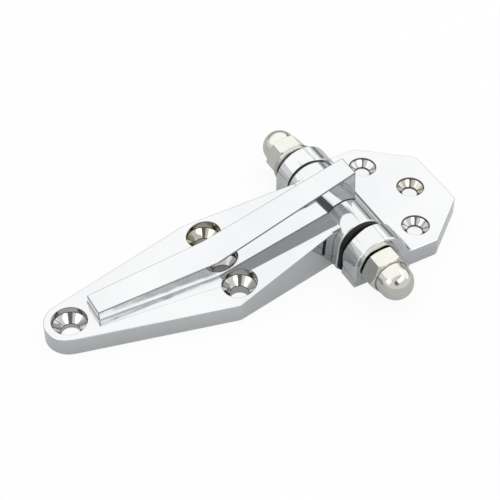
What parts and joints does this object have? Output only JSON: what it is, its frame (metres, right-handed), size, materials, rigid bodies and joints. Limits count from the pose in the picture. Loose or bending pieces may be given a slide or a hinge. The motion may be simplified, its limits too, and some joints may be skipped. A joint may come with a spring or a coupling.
{
  "type": "refrigerator door hinge",
  "caption": "Surface-mounted refrigerator door hinge: kite-shaped ribbed door leaf, bevelled frame leaf with ears, and a through pin held by domed cap nuts.",
  "frame": {"origin": "on the mounting plane, under the middle of the hinge pin", "axes": "+X from the door leaf's tip to the frame leaf, +Y along the pin, +Z away from the door"},
  "size_m": [0.2121, 0.1252, 0.0406],
  "materials": {
    "chrome_casting": "polished chrome plating",
    "nickel_steel": "polished nickel-plated steel",
    "black_nylon": "matte black nylon"
  },
  "bodies": {
    "frame_leaf": {"butt_leaf": "chrome_casting", "hinge_pin": "nickel_steel", "near_washer": "nickel_steel", "far_washer": "nickel_steel", "near_cap_nut": "nickel_steel", "far_cap_nut": "nickel_steel"},
    "door_leaf": {"strap_leaf": "chrome_casting", "near_bush": "black_nylon", "far_bush": "black_nylon"}
  },
  "joints": [
    {"name": "door_swing", "type": "hinge", "parent": "frame_leaf", "child": "door_leaf", "pos_m": [0, 0, 0.0134], "axis": [0, 1, 0], "range_deg": [0, 79]}
  ]
}
